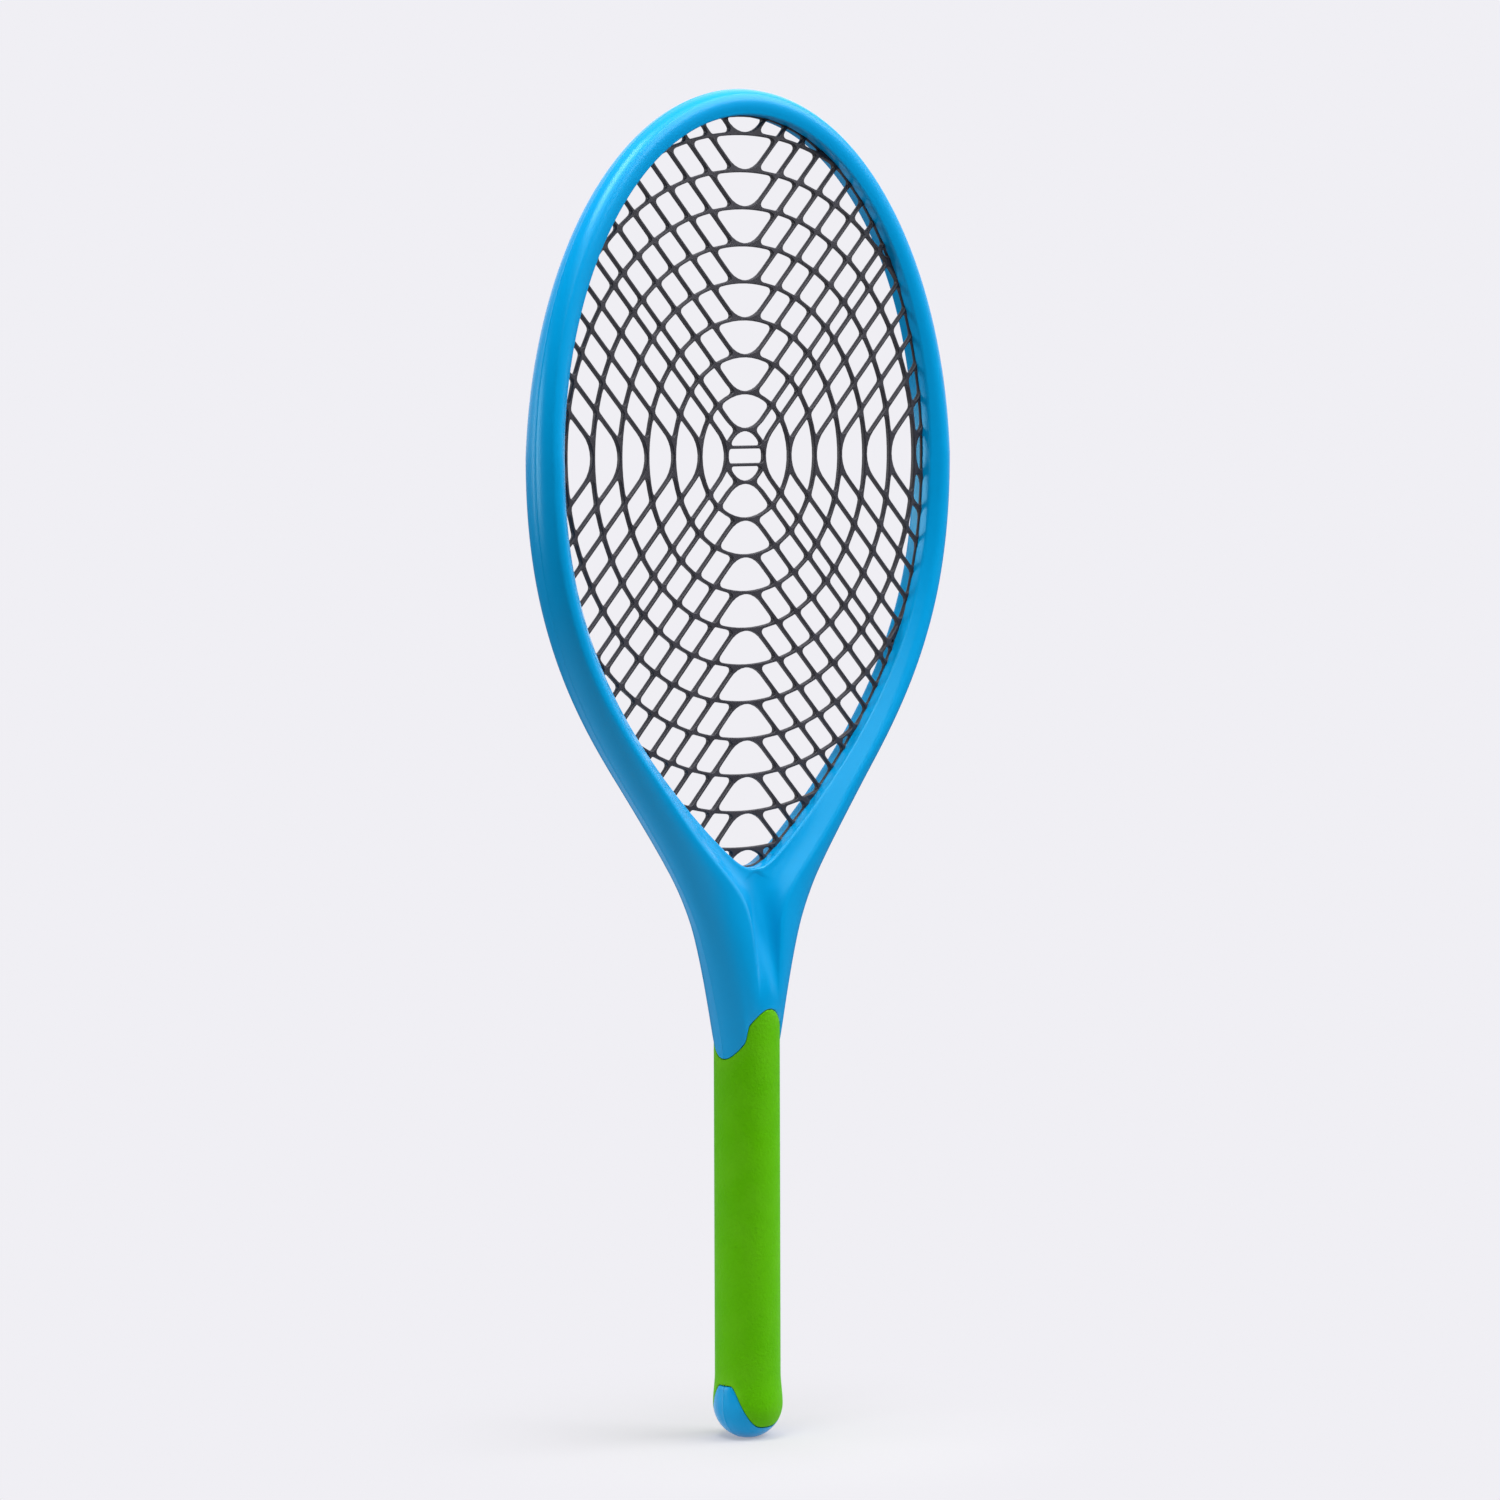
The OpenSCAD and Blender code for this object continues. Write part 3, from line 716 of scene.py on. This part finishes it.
# The one-piece string bed: each opening's edge is carried inwards and up to the flat faces, which are
# filled out to the rim, and the rim steps down where it enters the frame's groove
def buildStrings(material):
    s = strings
    xs, zs, lineD, rim, field = stringFields()
    loops = [respaced(p) for p in zeroLoops(xs, zs, field) if len(p) > s["leastPoints"]]
    print("openings between the strings:", len(loops), "with", sum(map(len, loops)), "points")

    # value of a grid at any place, blended straight between the four nearest
    def sample(values, p):
        u = np.clip((p[:, 0] - xs[0]) / s["step"], 0, len(xs) - 1.001)
        v = np.clip((p[:, 1] - zs[0]) / s["step"], 0, len(zs) - 1.001)
        i, j = u.astype(int), v.astype(int)
        fu, fv = u - i, v - j
        here = mix(values[i, j], values[i + 1, j], fu)
        above = mix(values[i, j + 1], values[i + 1, j + 1], fu)
        return mix(here, above, fv)

    # half thickness: the rim's near the frame and between strings, the strings' elsewhere
    def height(p):
        inside = sample(rim, p) + s["rimIn"]
        full = np.maximum(smooth((inside - s["thinTo"]) / s["flareOver"]),
                          smooth((s["joinTo"] - sample(lineD, p)) / s["flareOver"]))
        return mix(s["rimT"], s["halfT"], full)

    edge = np.concatenate(loops)
    sizes = np.array([len(p) for p in loops])
    starts = np.r_[0, np.cumsum(sizes)[:-1]]
    gx, gz = np.gradient(field, s["step"])
    inward = -unit(np.c_[sample(gx, edge), sample(gz, edge)])
    n = len(edge)
    levels = edge[None] + s["inset"][:, None, None] * inward[None]
    rise = s["rise"][:, None] * height(edge)[None]

    rows = headRows(shell["hoopRows"], shell["sideRows"], shell["throatRows"])
    upTo = rows["tip"] + 1
    mid, norm = rows["open"][:upTo] - [0, racket["centreZ"]], rows["norm"][:upTo]

    # the opening's edge moved out by a distance, all the way round, at every second row
    def around(distance):
        half = mid + distance * norm
        return np.r_[half, (half * [-1, 1])[-2:0:-1]][::2]
    seat, outer = around(-s["seatIn"]), around(s["rimOut"])
    m = len(seat)
    fill = flatFill(levels[-1], seat, outer, starts, sizes)
    beyond = (fill >= n + m).any(axis=1)

    # a plan at a depth, as points in space
    def placed(plan, y):
        return np.c_[plan[:, 0], np.broadcast_to(y, len(plan)), plan[:, 1] + racket["centreZ"]]
    # points: the middle plane, then the front's levels, the seat above and below the step and the outer
    # edge, then the same for the back
    front = [placed(levels[k], -rise[k]) for k in range(1, len(levels))]
    front += [placed(seat, -height(seat)), placed(seat, -s["landT"]), placed(outer, -s["landT"])]
    frontPoints = np.concatenate(front)
    points = np.r_[placed(levels[0], 0.0), frontPoints, frontPoints * [1, -1, 1]]
    size = len(frontPoints)
    ids = np.arange(n)
    following = ids + 1
    following[starts + sizes - 1] = starts
    last = len(levels) - 1
    quads, threes = [], []
    for side, base in ((0, n), (1, n + size)):
        level = [ids] + [base + (k - 1) * n + ids for k in range(1, last + 1)]
        for a, b in zip(level[:-1], level[1:]):
            q = np.c_[a, a[following], b[following], b]
            quads.append(q if side else q[:, ::-1])
        seatHigh = base + last * n + np.arange(m)
        seatLow, rimEdge = seatHigh + m, seatHigh + 2 * m
        q = np.c_[seatHigh, np.roll(seatHigh, -1), np.roll(seatLow, -1), seatLow]
        quads.append(q if side else q[:, ::-1])
        inner = np.r_[level[-1], seatHigh, rimEdge]
        outside = np.r_[level[-1], seatLow, rimEdge]
        t = np.r_[inner[fill[~beyond]], outside[fill[beyond]]]
        threes.append(t[:, ::-1] if side else t)
    a = n + last * n + 2 * m + np.arange(m)
    b = a + size
    quads.append(np.c_[a, np.roll(a, -1), np.roll(b, -1), b])
    quads, threes = np.concatenate(quads), np.concatenate(threes)
    lightening = np.zeros(len(points))        # painted light: the flat faces and the rim get the lighter tint, standing in for the light on the strings' flat front faces
    lightening[n:n + size] = lightening[n + size:] = np.r_[np.zeros((last - 1) * n), np.ones(size - (last - 1) * n)]
    faces = threes.tolist() + quads.tolist()
    piece = addMesh("stringNet", points, faces, "root", ["string_bed"], material, lightening, 60)
    flatFace = np.zeros(len(piece.data.polygons), bool)
    flatFace[:len(threes)] = True
    piece.data.polygons.foreach_set("use_smooth", ~flatFace)
    print("stringNet", len(threes) + 2 * len(quads), "triangles")
    return piece


# The soft sleeve on the handle
sleeve = {
    "edgeRound": 0.6,       # rounding of the sleeve's ends
    "roundPoints": 6,
    "rows": 90,
    "crowd": 1.3,           # power that crowds the rows downwards
    "paleLeast": 0.35,      # lighter colour in the middle, against 1 at the ends
    "paleReach": 0.03,      # how far the ends' lighter colour reaches
}


# A closed tube of the handle's radius: its profile runs over the outside, round both ends and back
# inside; each point of it has its share of the way down, its shift in height and its depth
def buildSleeve(material, quarter):
    turn = np.r_[quarter, 180 - quarter[-2::-1], 180 + quarter[1:], 360 - quarter[-2:0:-1]][None]
    e, thick, gap, ends = sleeve["edgeRound"], handle["gripT"], handle["gap"], sleeve["roundPoints"]
    q = np.radians(np.linspace(0, 90, ends))
    v = 1 - (1 - np.linspace(0, 1, sleeve["rows"] + 1)) ** sleeve["crowd"]
    roundTop = np.c_[np.zeros(ends), -gap - e * (1 - np.cos(q)), e * (1 - np.sin(q))]
    roundLow = np.c_[np.ones(ends), gap + e * (1 - np.sin(q)), e * (1 - np.cos(q))]
    outer = np.c_[v, mix(-gap - e, gap + e, v), np.zeros(len(v))][1:-1]
    inner = np.c_[v, mix(-gap, gap, v), np.full(len(v), thick)][::-1]
    profile = np.r_[roundTop, outer, roundLow, inner]
    down, depth = profile[:, :1], profile[:, 2:]
    z = mix(sleeveTop(turn), sleeveLow(turn), down) + profile[:, 1:2]
    r = handleRadius(z) - depth
    a = np.radians(turn)
    grid = np.stack([r * np.sin(a), -r * np.cos(a), z], -1)
    rowsN, colsN = grid.shape[:2]
    index = np.arange(rowsN * colsN).reshape(rowsN, colsN)
    right, under = np.roll(index, -1, 1), np.roll(index, -1, 0)
    quads = np.stack([index, under, np.roll(under, -1, 1), right], -1).reshape(-1, 4)
    # lighter patches over the outside, most at both ends
    middle = np.exp(-(down * (1 - down) / sleeve["paleReach"]) ** 2)
    lightening = np.tile((depth < 0.6 * e) * mix(sleeve["paleLeast"], 1, middle), (1, colsN)).ravel()
    points = grid.reshape(-1, 3)
    piece = addMesh("gripSleeve", points, quads.tolist(), "root", ["grip_sleeve"], material, lightening, 50)
    print("gripSleeve", 2 * len(quads), "triangles")
    return piece


# A shader node group with its sockets: (name, type, value) going in, (name, type) coming out
def newGroup(name, inputs, outputs):
    group = bpy.data.node_groups.new(name, "ShaderNodeTree")
    for title, kind, value in inputs:
        socket = group.interface.new_socket(title, in_out="INPUT", socket_type=kind)
        socket.default_value = value
    for title, kind in outputs:
        group.interface.new_socket(title, in_out="OUTPUT", socket_type=kind)
    return group


# One node with its links, (socket, source) each, its socket values and its other settings
def addNode(tree, kind, links=(), values=None, **settings):
    node = tree.nodes.new(kind)
    for key, value in settings.items():
        setattr(node, key, value)
    for socket, number in (values or {}).items():
        node.inputs[socket].default_value = number
    for socket, source in links:
        tree.links.new(source, node.inputs[socket])
    return node


# Noise on the object's own coordinates, at a scale given by a link
def noiseNode(tree, place, scale, values):
    links = [("Vector", place.outputs["Object"]), ("Scale", scale)]
    return addNode(tree, "ShaderNodeTexNoise", links, values)


# Fine moulded texture: Height is a fine noise, Tone is 0.55 of a broad noise and 0.45 of the fine one
def grainGroup():
    group = newGroup("mouldGrain", [("Fine", "NodeSocketFloat", 900.0), ("Broad", "NodeSocketFloat", 18.0)],
                     [("Height", "NodeSocketFloat"), ("Tone", "NodeSocketFloat")])
    start = addNode(group, "NodeGroupInput")
    place = addNode(group, "ShaderNodeTexCoord")
    fine = noiseNode(group, place, start.outputs["Fine"], {"Detail": 3.0, "Roughness": 0.6})
    broad = noiseNode(group, place, start.outputs["Broad"], {"Detail": 2.0})
    tone = addNode(group, "ShaderNodeMix", [("A", broad.outputs["Fac"]), ("B", fine.outputs["Fac"])],
                   {"Factor": 0.45})
    addNode(group, "NodeGroupOutput", [("Height", fine.outputs["Fac"]), ("Tone", tone.outputs["Result"])])
    return group


# Lighter patches where a noise is high, times the point attribute that lightens the colour: painted highlight
# on the frame, painted light on the strings' flat faces, lighter ends on the sleeve
def lighteningGroup():
    group = newGroup("lighteningPatches", [("Density", "NodeSocketFloat", 60.0)], [("Mask", "NodeSocketFloat")])
    start = addNode(group, "NodeGroupInput")
    place = addNode(group, "ShaderNodeTexCoord")
    noise = noiseNode(group, place, start.outputs["Density"], {"Detail": 2.0, "Roughness": 0.5})
    patch = addNode(group, "ShaderNodeMapRange", [("Value", noise.outputs["Fac"])],
                    {"From Min": 0.35, "From Max": 0.75, "To Max": 0.6})
    edge = addNode(group, "ShaderNodeAttribute", attribute_name="lightening")
    both = addNode(group, "ShaderNodeMath", [(0, patch.outputs["Result"]), (1, edge.outputs["Fac"])],
                   operation="MULTIPLY")
    addNode(group, "NodeGroupOutput", [("Mask", both.outputs["Value"])])
    return group


# A plastic: its colour goes from deep to light with the grain's tone and towards a lighter tint where the
# mask is high (painted highlight on the frame, painted light on the strings), its roughness follows the tone,
# and the fine grain is its bump
def newMaterial(name, look, groups):
    material = bpy.data.materials.new(name)
    material.use_nodes = True
    tree = material.node_tree
    tree.nodes.clear()
    surface = addNode(tree, "ShaderNodeBsdfPrincipled", (), look["socket"])
    grain = addNode(tree, "ShaderNodeGroup", (), {"Fine": look["fine"], "Broad": look["broad"]},
                    node_tree=groups["grain"])
    lighter = addNode(tree, "ShaderNodeGroup", (), {"Density": look["density"]}, node_tree=groups["lightening"])
    tone = addNode(tree, "ShaderNodeMix", [("Factor", grain.outputs["Tone"])], data_type="RGBA")
    tone.inputs["A"].default_value = look["deep"] + (1,)
    tone.inputs["B"].default_value = look["light"] + (1,)
    # mix towards the lighter tint by the mask: painted highlight on the frame, painted light on the strings'
    # flat faces
    lightened = addNode(tree, "ShaderNodeMix", [("Factor", lighter.outputs["Mask"]), ("A", tone.outputs["Result"])],
                     data_type="RGBA")
    lightened.inputs["B"].default_value = look["lighter"] + (1,)
    rough = addNode(tree, "ShaderNodeMapRange", [("Value", grain.outputs["Tone"])],
                    {"To Min": look["rough"][0], "To Max": look["rough"][1]})
    bump = addNode(tree, "ShaderNodeBump", [("Height", grain.outputs["Height"])],
                   {"Strength": look["bump"], "Distance": look["depth"]})
    tree.links.new(lightened.outputs["Result"], surface.inputs["Base Color"])
    tree.links.new(rough.outputs["Result"], surface.inputs["Roughness"])
    tree.links.new(bump.outputs["Normal"], surface.inputs["Normal"])
    addNode(tree, "ShaderNodeOutputMaterial", [("Surface", surface.outputs["BSDF"])])
    return material


# Floor, room and lights; the room and the floor show the camera the paper's colour and light the
# object with strengths of their own
stage = {
    "paper": (0.871, 0.863, 0.905),     # pale background
    "behind": 1.4, "front": 0.0,        # the room's light from behind the object and from the front
    "away": (0.708, 0.703, 0.0),        # level direction from the camera to the object
    "turn": (-0.2, 0.9),                # where along it the light goes from front to behind
    "floorRadius": 30.0,
    "floorTone": (0.54, 0.535, 0.55),   # plain floor near the object, where shadows show
    "shadow": (0.02, 0.16),             # radii between which the floor becomes paper
    "shadowLeast": 0.35,                # share of paper even right under the object
    "bounce": (1.2, 0.1),               # the floor's light close to the object and further out
    "bounceRadii": (0.25, 0.8),
    "lights": {
        # behind the racket on the left: the light along the frame's left sides
        "leftBox": {"at": (-1.9, 1.7, 0.3), "size": (1.2, 1.6), "power": 34.0},
        # in front on the right: the main light on the front slopes
        "rightBox": {"at": (1.0, -1.0, 1.4), "size": (1.2, 1.2), "power": 27.0},
        # high in front: a broad soft fill
        "topBox": {"at": (-0.2, -0.6, 1.6), "size": (1.7, 1.7), "power": 24.0},
        # small, above and a little to the left: the highlight on the hoop
        "overBox": {"at": (-0.35, -0.05, 1.3), "size": (0.35, 0.5), "power": 6.0},
    },
    "target": (0, 0, 0.3),
}
camera = {
    "lens": 129.87, "at": (-1.51027, -1.50154, 0.42365),
    "yaw": 45.21, "down": 4.03, "roll": -0.17,      # degrees; yaw counts from +Y towards +X
}


# A smooth step of a value from one range to another
def rangeNode(tree, source, start, end, low, high):
    return addNode(tree, "ShaderNodeMapRange", [("Value", source)],
                   {"From Min": start, "From Max": end, "To Min": low, "To Max": high},
                   interpolation_type="SMOOTHSTEP")


# Pale floor: plain diffuse near the object and the background's own brightness further out, by the
# distance from the middle
def buildFloor():
    r = stage["floorRadius"]
    mesh = bpy.data.meshes.new("floor")
    mesh.from_pydata([(-r, -r, 0), (r, -r, 0), (r, r, 0), (-r, r, 0)], [], [(0, 1, 2, 3)])
    floor = bpy.data.objects.new("floor", mesh)
    bpy.context.collection.objects.link(floor)
    material = bpy.data.materials.new("paleFloor")
    material.use_nodes = True
    tree = material.node_tree
    tree.nodes.clear()
    place = addNode(tree, "ShaderNodeTexCoord")
    out = addNode(tree, "ShaderNodeVectorMath", [("Vector", place.outputs["Object"])], operation="LENGTH")
    fade = rangeNode(tree, out.outputs["Value"], *stage["shadow"], stage["shadowLeast"], 1.0)
    plain = addNode(tree, "ShaderNodeBsdfDiffuse", (), {"Color": stage["floorTone"] + (1,)})
    seen = addNode(tree, "ShaderNodeLightPath")
    ring = rangeNode(tree, out.outputs["Value"], *stage["bounceRadii"], *stage["bounce"])
    power = addNode(tree, "ShaderNodeMix",
                    [("Factor", seen.outputs["Is Camera Ray"]), ("A", ring.outputs["Result"])], {"B": 1.0})
    glow = addNode(tree, "ShaderNodeEmission", [("Strength", power.outputs["Result"])],
                   {"Color": stage["paper"] + (1,)})
    both = addNode(tree, "ShaderNodeMixShader",
                   [(0, fade.outputs["Result"]), (1, plain.outputs[0]), (2, glow.outputs[0])])
    addNode(tree, "ShaderNodeOutputMaterial", [("Surface", both.outputs[0])])
    mesh.materials.append(material)


# The room, brighter behind the object by the cosine between a ray and the camera's level direction,
# and the soft boxes, each turned to face the target
def buildLight():
    world = bpy.data.worlds.new("studio")
    bpy.context.scene.world = world
    world.use_nodes = True
    tree = world.node_tree
    tree.nodes.clear()
    seen = addNode(tree, "ShaderNodeLightPath")
    shown = addNode(tree, "ShaderNodeBackground", (), {"Color": stage["paper"] + (1,)})
    toward = addNode(tree, "ShaderNodeTexCoord")
    ahead = addNode(tree, "ShaderNodeVectorMath", [(0, toward.outputs["Generated"])], {1: stage["away"]},
                    operation="DOT_PRODUCT")
    power = rangeNode(tree, ahead.outputs["Value"], *stage["turn"], stage["front"], stage["behind"])
    fill = addNode(tree, "ShaderNodeBackground", [("Strength", power.outputs["Result"])],
                   {"Color": stage["paper"] + (1,)})
    both = addNode(tree, "ShaderNodeMixShader",
                   [(0, seen.outputs["Is Camera Ray"]), (1, fill.outputs[0]), (2, shown.outputs[0])])
    addNode(tree, "ShaderNodeOutputWorld", [("Surface", both.outputs[0])])
    for name, box in stage["lights"].items():
        light = bpy.data.lights.new(name, "AREA")
        light.shape = "RECTANGLE"
        light.size, light.size_y = box["size"]
        light.energy = box["power"]
        lamp = bpy.data.objects.new(name, light)
        lamp.location = box["at"]
        lamp.rotation_euler = (Vector(box["at"]) - Vector(stage["target"])).to_track_quat("Z", "Y").to_euler()
        lamp.visible_camera = False
        bpy.context.collection.objects.link(lamp)


# The camera: turned by yaw on the level, tipped down, then rolled about its own axis; its right, up and
# backward directions are the columns of its matrix
def buildCamera():
    yaw, down, roll = (math.radians(camera[k]) for k in ("yaw", "down", "roll"))
    level = Vector((math.sin(yaw), math.cos(yaw), 0))
    ahead = level * math.cos(down) - Vector((0, 0, math.sin(down)))
    up = Vector((0, 0, math.cos(down))) + level * math.sin(down)
    side = Vector((math.cos(yaw), -math.sin(yaw), 0))
    right = side * math.cos(roll) + up * math.sin(roll)
    up = up * math.cos(roll) - side * math.sin(roll)
    data = bpy.data.cameras.new("camera")
    data.lens, data.sensor_width = camera["lens"], 36.0
    lens = bpy.data.objects.new("camera", data)
    turn = Matrix((right, up, -ahead)).transposed().to_4x4()
    lens.matrix_world = Matrix.Translation(camera["at"]) @ turn
    bpy.context.collection.objects.link(lens)
    bpy.context.scene.camera = lens


bpy.context.scene.view_settings.view_transform = "Standard"
buildCamera()
buildLight()
buildFloor()
print("stage, light and camera ready")

# Colours are linear: deep to light over the grain, and a lighter tint where the mask is high, which is
# painted highlight on the frame, painted light on the strings and lighter ends on the sleeve; fine, broad and
# density are noise scales, rough is a range, depth is in metres, and socket holds the shader's own values
groups = {"grain": grainGroup(), "lightening": lighteningGroup()}
# the frame's lighter tint is its painted highlight along the crest and the rounded inner edge
framePlastic = newMaterial("framePlastic", {
    "deep": (0.0, 0.288, 0.63), "light": (0.0, 0.325, 0.69), "lighter": (0.003, 0.33, 0.69),
    "rough": (0.25, 0.285), "fine": 300.0, "broad": 16.0, "density": 40.0, "bump": 0.003, "depth": 0.0002,
    "socket": {"IOR": 1.5, "Specular IOR Level": 0.33, "Specular Tint": (0.45, 0.95, 1.0, 1)},
}, groups)
# the strings' lighter tint is painted light on their flat faces and rim
stringPlastic = newMaterial("stringPlastic", {
    "deep": (0.017, 0.0162, 0.0225), "light": (0.027, 0.0255, 0.035), "lighter": (0.05, 0.048, 0.062),
    "rough": (0.42, 0.55), "fine": 900.0, "broad": 45.0, "density": 90.0, "bump": 0.08, "depth": 0.0002,
    "socket": {"IOR": 1.5, "Specular IOR Level": 0.4},
}, groups)
gripRubber = newMaterial("gripRubber", {
    "deep": (0.07, 0.375, 0.0), "light": (0.115, 0.48, 0.001), "lighter": (0.17, 0.53, 0.02),
    "rough": (0.55, 0.68), "fine": 900.0, "broad": 30.0, "density": 70.0, "bump": 0.6, "depth": 0.0006,
    "socket": {"IOR": 1.45, "Specular IOR Level": 0.12, "Specular Tint": (0.8, 1.0, 0.3, 1)},
}, groups)
print("materials ready")

quarter = shellGrid()[4]
buildShell("frontFrame", "front_frame_shell", -1, framePlastic)
buildShell("backFrame", "back_frame_shell", 1, framePlastic)
buildStrings(stringPlastic)
buildSleeve(gripRubber, quarter)

bpy.context.view_layer.update()
